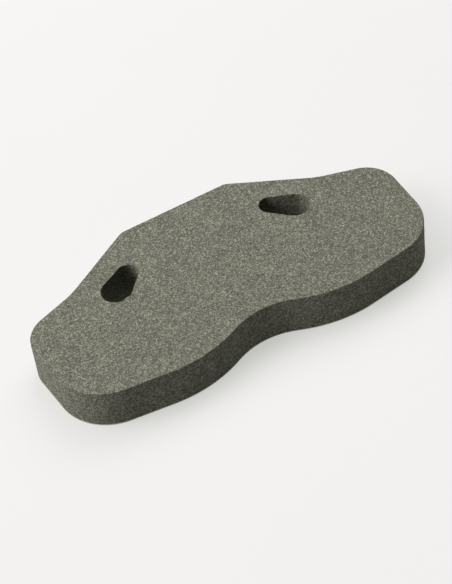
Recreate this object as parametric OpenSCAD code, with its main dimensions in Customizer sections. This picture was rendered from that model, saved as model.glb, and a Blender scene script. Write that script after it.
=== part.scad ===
// Self-adhesive foam back pad, in millimetres.
// A flat slab of open-cell foam is die-cut to a wing-shaped outline with two egg-shaped
// windows. Its back carries a film of adhesive under a release liner, and the liner is
// slit down the middle so that each half peels off outwards.
// The pad lies on its back: +Z is the face that meets the rider, and +Y points to the
// long straight edge. The origin is under the middle of the pad's box.

/* [Pad] */
// Width of the pad across its two lobes
pad_width = 190; // [140:1:260]
// Thickness of the foam
foam_thickness = 20; // [8:1:40]

/* [Windows] */
// Distance from the middle of the pad to the centre of a window's wide end
window_x = 47.5; // [44:0.5:52]
// Height of the wide end's centre above the drawing's baseline
window_y = 12.8; // [8:0.2:15]
// Radius of the wide, outer end
window_wide_r = 7.2; // [6:0.1:8]
// Radius of the narrow, inner end
window_narrow_r = 5.1; // [3:0.1:5.8]
// Distance between the centres of the two ends
window_length = 12; // [8:0.5:13]
// Angle between the window's length and the pad's width
window_tilt = 37; // [20:1:50]

/* [Backing] */
// Thickness of the adhesive film
film_thickness = 0.2; // [0.1:0.05:0.5]
// Thickness of the release liner
liner_thickness = 0.2; // [0.1:0.05:0.5]
// Width of the slit between the liner's two halves
slit_width = 0.3; // [0.2:0.1:2]

/* [Hidden] */

// A round's facets, which only a preview shows
$fn = 96;
// Angle at which every round crosses the straight sides that it joins
CROSSING_ANGLE = 1.5;
// How far past its ends a round's slice reaches, seen from its centre
SLICE_ANGLE = 12;

// The right half's corners, anticlockwise from the waist: [x, y, radius].
// They are drawn at a width of close to 190.
RIGHT_CORNERS = [
    [34.5, -47.3, 64],  // underside of the lobe
    [93, -39.2, 25],    // outer end of the lobe
    [95.7, 13, 16],     // shoulder tip
    [65.5, 23.1, 43],   // shallow bend of the shoulder
    [28, 45.1, 6]       // end of the long straight edge
];
WAIST = [0, -32.5, 36]; // the hollow between the lobes, on the centreline

CORNERS = concat(
    [WAIST],
    RIGHT_CORNERS,
    [for (i = [len(RIGHT_CORNERS) - 1 : -1 : 0]) mirrored(RIGHT_CORNERS[i])]
);
COUNT = len(CORNERS);
UNDERSIDE = 1; // the corner that reaches lowest
SHOULDER = 3;  // the corner that reaches furthest out
TOP = 5;       // the corner that reaches highest

// The drawing's own half width sets the scale that makes the pad as wide as asked
drawn_half_width = round_centre(SHOULDER).x + crossing(radius_at(SHOULDER));
drawing_scale = pad_width / (2 * drawn_half_width);
// The middle of the drawing's height goes to the origin
drawn_lowest_y = round_centre(UNDERSIDE).y - crossing(radius_at(UNDERSIDE));
drawn_middle_y = (point(TOP).y + drawn_lowest_y) / 2;

liner_top = liner_thickness;
film_top = liner_top + film_thickness;

function mirrored(c) = [-c.x, c.y, c.z];
function point(i) = [CORNERS[(i + COUNT) % COUNT].x, CORNERS[(i + COUNT) % COUNT].y];
function radius_at(i) = CORNERS[i].z;
function unit(v) = v / norm(v);
// Unit vectors from corner i to the corners before and after it
function back_way(i) = unit(point(i - 1) - point(i));
function next_way(i) = unit(point(i + 1) - point(i));
// Half of the angle between the two sides that meet at corner i
function half_angle(i) = acos(back_way(i) * next_way(i)) / 2;
// Distance from corner i to where its round touches each side
function reach(i) = radius_at(i) / tan(half_angle(i));
function round_start(i) = point(i) + back_way(i) * reach(i);
function round_end(i) = point(i) + next_way(i) * reach(i);
function round_centre(i) =
    point(i) + unit(back_way(i) + next_way(i)) * radius_at(i) / sin(half_angle(i));
// The corners run anticlockwise, so the outline turns right only where it is hollow
function is_hollow(i) = cross(-back_way(i), next_way(i)) < 0;

// A round's radius, a hair larger, so that it crosses its sides and doesn't just graze them
function crossing(r) = r / cos(CROSSING_ANGLE);

// The slice of corner i's round that reaches a little way along both of its sides
module round_slice(i) {
    centre = round_centre(i);
    spare = radius_at(i) * tan(SLICE_ANGLE);
    first = round_start(i) + back_way(i) * spare;
    last = round_end(i) + next_way(i) * spare;
    intersection() {
        translate(centre) circle(r = crossing(radius_at(i)));
        polygon([centre, 2 * first - centre, 2 * last - centre]);
    }
}

// The pad's outline: straight sides joined by true arcs
module outline() {
    difference() {
        union() {
            polygon([for (i = [0 : COUNT - 1]) each [round_start(i), round_end(i)]]);
            for (i = [0 : COUNT - 1]) if (!is_hollow(i)) round_slice(i);
        }
        for (i = [0 : COUNT - 1]) if (is_hollow(i)) round_slice(i);
    }
}

// One window, in the pad's right half: two rounds joined by their outer tangents
module window() {
    lean = asin((window_wide_r - window_narrow_r) / window_length);
    translate([window_x, window_y]) rotate(180 - window_tilt) {
        circle(r = crossing(window_wide_r));
        translate([window_length, 0]) circle(r = crossing(window_narrow_r));
        polygon([
            for (side = [-1, 1]) each [
                tangent_point(side < 0 ? 0 : 1, side, lean),
                tangent_point(side < 0 ? 1 : 0, side, lean)
            ]
        ]);
    }
}

// Where the tangent on one side touches the wide round (end 0) or the narrow one (end 1)
function tangent_point(end, side, lean) =
    [end * window_length, 0]
    + (end == 0 ? window_wide_r : window_narrow_r) * [sin(lean), side * cos(lean)];

module pad_section() {
    scale(drawing_scale) translate([0, -drawn_middle_y]) difference() {
        outline();
        window();
        mirror([1, 0]) window();
    }
}

// One layer of the pad, from height z up
module layer(z, thickness) {
    translate([0, 0, z]) linear_extrude(thickness) pad_section();
}

// The part of the lowest layer that lies on one side of the slit: 1 is right, -1 is left
module liner_half(side) {
    intersection() {
        layer(0, liner_thickness);
        translate([side > 0 ? slit_width / 2 : -slit_width / 2 - pad_width, -pad_width / 2, 0])
            cube([pad_width, pad_width, liner_thickness]);
    }
}

module foam_pad() {
    color([0.36, 0.36, 0.32]) layer(film_top, foam_thickness);
}

module adhesive_film() {
    color([0.66, 0.65, 0.59]) layer(liner_top, film_thickness);
}

module liner_left() {
    color([0.63, 0.59, 0.51]) liner_half(-1);
}

module liner_right() {
    color([0.63, 0.59, 0.51]) liner_half(1);
}

foam_pad();
adhesive_film();
liner_left();
liner_right();
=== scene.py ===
"""Self-adhesive foam back pad: its looks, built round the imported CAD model.

Lengths are in metres, except where a comment says otherwise.
The foam slab is rebuilt as a fine mesh with cell-sized pits, soft rims and a procedural foam
material. The adhesive film and the release liner keep their CAD shapes and get materials.
"""

import math

import bmesh
import bpy
import numpy as np
from mathutils import Matrix, Vector, noise
from mathutils.geometry import delaunay_2d_cdt


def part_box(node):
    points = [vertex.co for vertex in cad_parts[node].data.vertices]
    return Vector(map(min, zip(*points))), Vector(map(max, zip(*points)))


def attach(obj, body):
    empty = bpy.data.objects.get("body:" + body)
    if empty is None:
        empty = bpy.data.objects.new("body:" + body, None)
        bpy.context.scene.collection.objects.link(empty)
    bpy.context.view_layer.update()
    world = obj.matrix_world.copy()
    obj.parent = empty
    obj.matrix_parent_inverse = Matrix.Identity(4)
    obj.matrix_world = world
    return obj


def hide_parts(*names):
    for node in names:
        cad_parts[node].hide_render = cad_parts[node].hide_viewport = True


MM = 0.001

# Foam mesh
MESH_STEP = 0.65 * MM      # spacing of the points on the faces that show
BACK_STEP = 2.6 * MM       # spacing on the back, which the film covers
RIM_RADIUS = 0.25 * MM     # soft edge round the face and the windows
BACK_RIM_RADIUS = 0.15 * MM
RIM_STEPS = 3
JITTER = 0.16              # how unevenly the points are spread, as a share of their spacing
RIM_CLEARANCE = 0.6        # how far a point stays from the rim's own, as a share of their spacing
FACE_SEED = 47             # each seed sets how the points of one side are scattered
BACK_SEED = 11
PIT = 0.9 * MM             # size of the pits that the mesh itself carries
PIT_DEPTH = 0.09 * MM
PIT_OFFSET = 0.4           # sinks the pitted surface, so that it hardly passes the CAD model's
FINE_PIT = 2.1             # how many times finer the second, half as deep set of pits is
WAVE_LENGTH = 14 * MM      # slow unevenness of the cut faces
WAVE_DEPTH = 0.08 * MM
WAVE_OFFSET = 0.5          # sinks it too
CONVEX_TRIANGLES = 0       # the triangulation's mode that fills the whole convex area
MERGE_DISTANCE = 1e-7      # the triangulation's own tolerance, in millimetres
SAME_PLACE = 1e-6          # points of the CAD mesh that are nearer than this are one

# Foam material
GRAIN = 0.5 * MM           # size of the foam cells that are painted
FINE_GRAIN = 0.35 * MM
MOTTLE = 9 * MM            # size of the slow changes of tone

# Stage
FLOOR_HALF = 9.0           # half of the floor's side
# The floor's glow is painted light: the floor glows though it is no lamp, so that shadows on it stay
# pale
FLOOR_GLOW = 0.585
GLOW_REACH = 25 * MM       # how near a wall has to be to dim the floor's glow; the dimming is painted shade
LIGHT_TINT = (1.0, 0.975, 0.98)
ROOM_TINT = (0.96, 0.98, 1.0)
# The room's brightness runs from pale to dark between two heights of the line of sight
HORIZON = (("From Min", 0.04), ("From Max", 0.16), ("To Min", 0.45), ("To Max", 0.02))
# Each soft light: name, azimuth and elevation in degrees, distance, size, power
LIGHTS = (
    ("left_back", 148, 45, 3.0, 2.2, 68),
    ("left", 172, 34, 3.0, 1.8, 92),
    ("right_back", 40, 46, 3.0, 2.2, 84),
    ("back", 95, 60, 0.9, 0.8, 3.3),
)

# Camera: where it stands round the pad, and its turn about its own axis
VIEW_AZIMUTH = math.radians(-24.6)
VIEW_ELEVATION = math.radians(45.24)
VIEW_ROLL = math.radians(-8.08)
VIEW_DISTANCE = 0.8607
LENS = 118.3               # focal length in millimetres
VIEW_SHIFT = -0.0119863014 # how far the frame is moved along its long side, as a share of it
AIM = (-5.3 * MM, -13.2 * MM)  # the point of the pad's face on the lens axis

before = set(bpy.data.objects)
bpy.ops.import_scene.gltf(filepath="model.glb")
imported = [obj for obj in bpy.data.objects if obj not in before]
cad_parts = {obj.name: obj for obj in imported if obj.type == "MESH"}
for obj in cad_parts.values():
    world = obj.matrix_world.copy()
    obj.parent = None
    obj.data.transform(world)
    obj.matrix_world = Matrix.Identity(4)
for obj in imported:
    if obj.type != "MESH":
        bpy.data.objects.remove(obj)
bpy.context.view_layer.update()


def linked(name, data):
    """A new object in the scene."""
    made = bpy.data.objects.new(name, data)
    bpy.context.scene.collection.objects.link(made)
    return made


# --- outlines taken from the CAD model ---------------------------------------------------

def flat_outlines(node, height):
    """The closed outlines of a node's level face at that height, the longest first."""
    mesh = bmesh.new()
    mesh.from_mesh(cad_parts[node].data)
    bmesh.ops.remove_doubles(mesh, verts=mesh.verts, dist=SAME_PLACE)
    level = {f for f in mesh.faces if all(abs(v.co.z - height) < SAME_PLACE for v in f.verts)}
    ways = {}
    for edge in mesh.edges:
        if sum(f in level for f in edge.link_faces) == 1:
            for here, there in (edge.verts, reversed(edge.verts)):
                ways.setdefault(here, []).append(there)
    loops = []
    while ways:
        start = next(iter(ways))
        loop, before, here = [], None, start
        while here in ways:
            loop.append((here.co.x, here.co.y))
            onward = [v for v in ways.pop(here) if v is not before]
            before, here = here, onward[0]
        loops.append(np.array(loop))
    mesh.free()
    return sorted(loops, key=length_of, reverse=True)


def length_of(loop):
    return np.linalg.norm(loop - np.roll(loop, 1, axis=0), axis=1).sum()


def signed_area(loop):
    x, y = loop.T
    return 0.5 * (x * np.roll(y, -1) - np.roll(x, -1) * y).sum()


def even_loop(loop, step, anticlockwise):
    """The same closed line with points a step apart, turning the way that is asked."""
    if (signed_area(loop) > 0) != anticlockwise:
        loop = loop[::-1]
    closed = np.vstack([loop, loop[:1]])
    run = np.concatenate([[0], np.cumsum(np.linalg.norm(np.diff(closed, axis=0), axis=1))])
    marks = np.linspace(0, run[-1], round(run[-1] / step), endpoint=False)
    return np.column_stack([np.interp(marks, run, closed[:, k]) for k in (0, 1)])


def outward(loop):
    """Unit normals that point away from the foam: the foam is always on a loop's left."""
    along = np.roll(loop, -1, axis=0) - np.roll(loop, 1, axis=0)
    normals = np.column_stack([along[:, 1], -along[:, 0]])
    return normals / np.linalg.norm(normals, axis=1, keepdims=True)


# --- foam pad ------------------------------------------------------------------------------

def inside(points, loop):
    """Which points lie inside a closed loop, by counting the sides to their right."""
    hit = np.zeros(len(points), bool)
    x, y = points.T
    for (x1, y1), (x2, y2) in zip(loop, np.roll(loop, -1, axis=0)):
        if y1 == y2:
            continue
        crosses = (y1 > y) != (y2 > y)
        hit ^= crosses & (x < (x2 - x1) * (y - y1) / (y2 - y1) + x1)
    return hit


def between(points, loops):
    """Which points lie in the foam: inside the outline, the first loop, and outside the windows."""
    keep = inside(points, loops[0])
    for hole in loops[1:]:
        keep &= ~inside(points, hole)
    return keep


def scattered_points(loops, step, seed):
    """A slightly uneven triangular grid of points that fills the foam between its loops."""
    rng = np.random.default_rng(seed)
    low, high = loops[0].min(axis=0), loops[0].max(axis=0)
    rows = np.arange(low[1], high[1], step * math.sqrt(3) / 2)
    grid = [
        (x + (step / 2 if k % 2 else 0), y)
        for k, y in enumerate(rows)
        for x in np.arange(low[0], high[0], step)
    ]
    points = np.array(grid) + rng.uniform(-JITTER, JITTER, (len(grid), 2)) * step
    return clear_of(np.vstack(loops), points[between(points, loops)], step)


def clear_of(rim, points, step):
    """The points that don't crowd the rim's own, which are looked up by squares a step wide."""
    squares = {}
    for p in rim:
        squares.setdefault((p[0] // step, p[1] // step), []).append(p)
    clear = []
    for p in points:
        column, row = p[0] // step, p[1] // step
        around = [(column + i, row + j) for i in (-1, 0, 1) for j in (-1, 0, 1)]
        near = [q for square in around for q in squares.get(square, ())]
        clear.append(all(math.dist(p, q) > RIM_CLEARANCE * step for q in near))
    return points[np.array(clear)]


def filled(loops, step, seed):
    """Points and triangles over the area between loops. The loops' own points come first."""
    rim = np.vstack(loops)
    points = np.vstack([rim, scattered_points(loops, step, seed)])
    edges, first = [], 0
    for loop in loops:
        n = len(loop)
        edges += [(first + i, first + (i + 1) % n) for i in range(n)]
        first += n
    flat = [Vector(p) for p in points / MM]
    spots, _, faces, sources, _, _ = delaunay_2d_cdt(
        flat, edges, [], CONVEX_TRIANGLES, MERGE_DISTANCE)
    assert len(spots) == len(points), "the triangulation merged or added points"
    known = np.array([source[0] for source in sources])
    triangles = known[np.array(faces)]
    in_foam = between(points[triangles].mean(axis=1), loops)
    return points, triangles[in_foam].tolist()


def quarter_round(radius):
    """(rise, inset) of the points round a soft rim, from the wall to the level face."""
    turns = [math.pi / 2 * k / RIM_STEPS for k in range(RIM_STEPS + 1)]
    return [(radius * math.sin(turn), radius * (1 - math.cos(turn))) for turn in turns]


def wall_profile(bottom, top):
    """(height, inset) of each ring of points up a cut wall and round its soft rims."""
    start, end = bottom + BACK_RIM_RADIUS, top - RIM_RADIUS
    count = round((end - start) / MESH_STEP)
    back_rim = [(start - rise, inset) for rise, inset in reversed(quarter_round(BACK_RIM_RADIUS))]
    wall = [(start + (end - start) * k / count, 0) for k in range(1, count)]
    face_rim = [(end + rise, inset) for rise, inset in quarter_round(RIM_RADIUS)]
    return back_rim + wall + face_rim


class Skin:
    """The foam's surface while it is put together: points, outward directions and faces."""

    def __init__(self):
        self.places, self.outs, self.faces = [], [], []

    def add_points(self, points, height, outs):
        """Adds level points and returns their numbers."""
        first = len(self.places)
        self.places += [(x, y, height) for x, y in points]
        self.outs += outs
        return list(range(first, len(self.places)))

    def add_band(self, lower, upper):
        """Joins two rings of as many points with four-sided faces."""
        self.faces += zip(lower, lower[1:] + lower[:1], upper[1:] + upper[:1], upper)

    def add_wall(self, loop, normals, profile):
        """Adds one closed wall, and returns its lowest and its highest ring."""
        level = [(x, y, 0) for x, y in normals]
        rings = [self.add_points(loop - normals * inset, z, level) for z, inset in profile]
        for lower, upper in zip(rings, rings[1:]):
            self.add_band(lower, upper)
        return rings[0], rings[-1]

    def add_cap(self, rims, step, up, seed):
        """Closes the slab with a level face between the walls' end rings. Up is 1 or -1."""
        edges = [np.array([self.places[i][:2] for i in rim]) for rim in rims]
        known = [i for rim in rims for i in rim]
        points, triangles = filled(edges, step, seed)
        fresh = points[len(known):]
        for i in known:  # a rim's last ring faces both outwards and up or down
            self.outs[i] = (*self.outs[i][:2], up)
        numbers = known + self.add_points(fresh, self.places[known[0]][2], [(0, 0, up)] * len(fresh))
        for triangle in triangles:
            self.faces.append(tuple(numbers[i] for i in triangle[::up]))


def foam_skin():
    """The slab as one closed surface: the walls of its outline and windows, its face, its back."""
    low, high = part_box("foam_pad")
    outlines = flat_outlines("foam_pad", high.z)
    loops = [even_loop(o, MESH_STEP, anticlockwise=(k == 0)) for k, o in enumerate(outlines)]
    profile = wall_profile(low.z, high.z)
    skin = Skin()
    ends = [skin.add_wall(loop, outward(loop), profile) for loop in loops]
    back_rims, face_rims = zip(*ends)
    skin.add_cap(face_rims, MESH_STEP, 1, FACE_SEED)
    skin.add_cap(back_rims, BACK_STEP, -1, BACK_SEED)
    return np.array(skin.places), np.array(skin.outs, float), skin.faces


def pitted(places, outs):
    """Moves each point along its outward direction: cell-sized pits on a slowly uneven surface."""
    low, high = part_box("foam_pad")
    outs = outs / np.linalg.norm(outs, axis=1, keepdims=True)
    moved = places.copy()
    for k, (place, out) in enumerate(zip(places, outs)):
        if out[2] < -0.5:  # the back stays flat on the film
            continue
        spot = Vector(place)
        pit = noise.noise(spot / PIT) + 0.5 * noise.noise(spot / PIT * FINE_PIT)
        wave = noise.noise(spot / WAVE_LENGTH)
        moved[k] += out * (PIT_DEPTH * (pit - PIT_OFFSET) + WAVE_DEPTH * (wave - WAVE_OFFSET))
    moved[:, 2] = np.clip(moved[:, 2], low.z, high.z)
    return moved


def make_foam(material):
    places, outs, faces = foam_skin()
    mesh = bpy.data.meshes.new("foam_slab")
    mesh.from_pydata(pitted(places, outs).tolist(), [], faces)
    mesh.validate()
    mesh.update()
    mesh.shade_smooth()
    mesh.materials.append(material)
    return linked("foam_slab", mesh)


# --- materials -------------------------------------------------------------------------------

class Nodes:
    """Short calls for building one node material."""

    def __init__(self, name):
        self.material = bpy.data.materials.new(name)
        self.material.use_nodes = True
        self.tree = self.material.node_tree
        self.shader = self.tree.nodes["Principled BSDF"]
        self.place = self.add("ShaderNodeTexCoord").outputs["Object"]

    def add(self, kind, **settings):
        made = self.tree.nodes.new(kind)
        for name, value in settings.items():
            setattr(made, name, value)
        return made

    def link(self, source, socket):
        self.tree.links.new(source, socket)

    def noise(self, size, detail, roughness=0.5):
        """Noise whose blotches are about that size, in metres."""
        made = self.add("ShaderNodeTexNoise")
        made.inputs["Scale"].default_value = 1 / size
        made.inputs["Detail"].default_value = detail
        made.inputs["Roughness"].default_value = roughness
        self.link(self.place, made.inputs["Vector"])
        return made.outputs["Fac"]

    def cells(self, size, output):
        """Foam cells of about that size, in metres."""
        made = self.add("ShaderNodeTexVoronoi")
        made.inputs["Scale"].default_value = 1 / size
        self.link(self.place, made.inputs["Vector"])
        return made.outputs[output]

    def math(self, operation, a, b):
        made = self.add("ShaderNodeMath", operation=operation)
        for socket, value in zip(made.inputs, (a, b)):
            if isinstance(value, float):
                socket.default_value = value
            else:
                self.link(value, socket)
        return made.outputs[0]

    def mapped(self, value, low, high, to_low, to_high):
        made = self.add("ShaderNodeMapRange")
        self.link(value, made.inputs["Value"])
        for name, number in (("From Min", low), ("From Max", high),
                             ("To Min", to_low), ("To Max", to_high)):
            made.inputs[name].default_value = number
        return made.outputs["Result"]

    def ramp(self, value, stops):
        """Colours along a value: stops are (position, (r, g, b))."""
        made = self.add("ShaderNodeValToRGB")
        points = made.color_ramp.elements
        while len(points) < len(stops):
            points.new(1.0)
        for point, (position, colour) in zip(points, stops):
            point.position = position
            point.color = (*colour, 1)
        self.link(value, made.inputs["Fac"])
        return made.outputs["Color"]

    def tinted(self, colour, tone):
        """One colour multiplied by another."""
        made = self.add("ShaderNodeMix", data_type="RGBA", blend_type="MULTIPLY")
        factor, first, second = (made.inputs[k] for k in (0, 6, 7))  # the sockets for colours
        factor.default_value = 1.0
        self.link(colour, first)
        self.link(tone, second)
        return made.outputs[2]

    def bump(self, height, distance):
        made = self.add("ShaderNodeBump")
        made.inputs["Distance"].default_value = distance
        self.link(height, made.inputs["Height"])
        self.link(made.outputs["Normal"], self.shader.inputs["Normal"])

    def set(self, socket, value):
        self.shader.inputs[socket].default_value = value


def foam_material():
    """Fine open cells, each with its own tone between dark and pale, under a finer grain."""
    n = Nodes("speckled_foam")
    grain = n.add("ShaderNodeSeparateColor")
    n.link(n.cells(GRAIN, "Color"), grain.inputs["Color"])
    pores = n.cells(GRAIN, "Distance")
    fine = n.noise(FINE_GRAIN, detail=1)
    mottle = n.noise(MOTTLE, detail=3)
    mixed = n.math("ADD", n.math("MULTIPLY", grain.outputs["Red"], 0.62),
                   n.math("MULTIPLY", fine, 0.38))
    speckle = n.ramp(mixed, [
        (0.10, (0.034, 0.0345, 0.026)),
        (0.45, (0.080, 0.0810, 0.062)),
        (0.62, (0.112, 0.1130, 0.087)),
        (0.78, (0.185, 0.1870, 0.147)),
        (0.95, (0.330, 0.3330, 0.270)),
    ])
    tone = n.ramp(mottle, [(0.3, (0.92, 0.92, 0.92)), (0.7, (1.06, 1.06, 1.06))])
    n.link(n.tinted(speckle, tone), n.shader.inputs["Base Color"])
    height = n.math("ADD", n.math("MULTIPLY", pores, 0.6), n.math("MULTIPLY", fine, 0.4))
    n.bump(height, 0.12 * MM)
    n.link(n.mapped(fine, 0.3, 0.7, 0.86, 0.98), n.shader.inputs["Roughness"])
    n.set("Specular IOR Level", 0.18)
    return n.material


def adhesive_material():
    """Slightly yellow, tacky film with fine ripples where it was rolled on."""
    n = Nodes("adhesive_film")
    ripple = n.noise(3 * MM, detail=2)
    n.link(n.ramp(ripple, [(0.3, (0.36, 0.35, 0.27)), (0.7, (0.44, 0.43, 0.34))]),
           n.shader.inputs["Base Color"])
    n.link(n.mapped(ripple, 0.3, 0.7, 0.22, 0.34), n.shader.inputs["Roughness"])
    n.bump(ripple, 0.03 * MM)
    return n.material


def liner_material():
    """Siliconed kraft paper: fine fibres in a light tan, with a soft shine."""
    n = Nodes("release_paper")
    fibres = n.noise(0.5 * MM, detail=4, roughness=0.65)
    cloudy = n.noise(6 * MM, detail=3)
    paper = n.ramp(fibres, [(0.3, (0.31, 0.26, 0.18)), (0.7, (0.41, 0.35, 0.25))])
    tone = n.ramp(cloudy, [(0.3, (0.93, 0.93, 0.93)), (0.7, (1.0, 1.0, 1.0))])
    n.link(n.tinted(paper, tone), n.shader.inputs["Base Color"])
    n.link(n.mapped(fibres, 0.3, 0.7, 0.40, 0.52), n.shader.inputs["Roughness"])
    n.bump(fibres, 0.03 * MM)
    return n.material


def floor_material():
    """A floor that glows like a light table: painted light that keeps shadows on it pale. Ambient
    occlusion dims the glow beside the pad's walls and under its windows, which paints shade there.
    """
    n = Nodes("glowing_floor_with_painted_shade")
    cloudy = n.noise(0.4, detail=2)
    n.link(n.ramp(cloudy, [(0.3, (0.165, 0.164, 0.172)), (0.7, (0.175, 0.174, 0.182))]),
           n.shader.inputs["Base Color"])
    n.set("Roughness", 0.9)
    n.set("Specular IOR Level", 0.0)
    painted_shade_openness = n.add("ShaderNodeAmbientOcclusion")
    painted_shade_openness.inputs["Distance"].default_value = GLOW_REACH
    # Painted shade: the glow darkens, with a yellowish tint, beside the pad's walls and under its
    # windows
    n.link(n.ramp(painted_shade_openness.outputs["AO"], [
        (0.05, (0.50, 0.50, 0.47)),
        (0.42, (0.90, 0.91, 0.85)),
        (0.75, (1.00, 1.00, 0.96)),
    ]), n.shader.inputs["Emission Color"])
    n.set("Emission Strength", FLOOR_GLOW)
    return n.material


def dress(node, material):
    """Gives a CAD node's own mesh a better material."""
    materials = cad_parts[node].data.materials
    for k in range(len(materials)):
        materials[k] = material


# --- stage -----------------------------------------------------------------------------------

def make_floor(material):
    mesh = bpy.data.meshes.new("floor")
    corners = [(x * FLOOR_HALF, y * FLOOR_HALF, 0) for x, y in ((-1, -1), (1, -1), (1, 1), (-1, 1))]
    mesh.from_pydata(corners, [], [(0, 1, 2, 3)])
    mesh.materials.append(material)
    linked("floor", mesh)


def area_light(name, azimuth, elevation, distance, size, power):
    """A square soft light aimed at the origin. Its azimuth runs from +X towards +Y."""
    light = bpy.data.lights.new(name, "AREA")
    light.shape = "SQUARE"
    light.size = size
    light.energy = power
    light.color = LIGHT_TINT
    lamp = linked(name, light)
    direction = Vector((math.cos(azimuth) * math.cos(elevation),
                        math.sin(azimuth) * math.cos(elevation),
                        math.sin(elevation)))
    lamp.location = direction * distance
    lamp.rotation_euler = direction.to_track_quat("Z", "Y").to_euler()


def make_dark_studio():
    """A nearly black room with a pale band round the horizon, where low views look past the floor."""
    world = bpy.data.worlds.new("studio")
    world.use_nodes = True
    tree = world.node_tree
    place = tree.nodes.new("ShaderNodeTexCoord")
    split = tree.nodes.new("ShaderNodeSeparateXYZ")
    band = tree.nodes.new("ShaderNodeMapRange")
    for name, number in HORIZON:
        band.inputs[name].default_value = number
    tree.links.new(place.outputs["Generated"], split.inputs["Vector"])
    tree.links.new(split.outputs["Z"], band.inputs["Value"])
    tree.links.new(band.outputs["Result"], tree.nodes["Background"].inputs["Strength"])
    tree.nodes["Background"].inputs["Color"].default_value = (*ROOM_TINT, 1)
    bpy.context.scene.world = world


def make_lights():
    make_dark_studio()
    for name, azimuth, elevation, distance, size, power in LIGHTS:
        area_light(name, math.radians(azimuth), math.radians(elevation), distance, size, power)


def make_camera():
    """Stands where the view was taken from, with its lens axis on the pad's face."""
    right = Vector((math.cos(VIEW_AZIMUTH), math.sin(VIEW_AZIMUTH), 0))
    back = Vector((math.sin(VIEW_AZIMUTH) * math.cos(VIEW_ELEVATION),
                   -math.cos(VIEW_AZIMUTH) * math.cos(VIEW_ELEVATION),
                   math.sin(VIEW_ELEVATION)))
    up = back.cross(right)
    turned_right = right * math.cos(VIEW_ROLL) + up * math.sin(VIEW_ROLL)
    turned_up = up * math.cos(VIEW_ROLL) - right * math.sin(VIEW_ROLL)
    target = Vector((*AIM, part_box("foam_pad")[1].z))
    place = target + back * VIEW_DISTANCE
    data = bpy.data.cameras.new("camera")
    data.lens = LENS
    data.shift_y = VIEW_SHIFT
    camera = linked("camera", data)
    camera.matrix_world = Matrix((
        (turned_right.x, turned_up.x, back.x, place.x),
        (turned_right.y, turned_up.y, back.y, place.y),
        (turned_right.z, turned_up.z, back.z, place.z),
        (0, 0, 0, 1),
    ))
    bpy.context.scene.camera = camera


# --- scene -----------------------------------------------------------------------------------

bpy.context.scene.view_settings.view_transform = "Standard"
make_camera()
make_floor(floor_material())
make_lights()

foam = make_foam(foam_material())
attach(foam, "pad")
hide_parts("foam_pad")

dress("adhesive_film", adhesive_material())
liner_paper = liner_material()
dress("liner_left", liner_paper)
dress("liner_right", liner_paper)
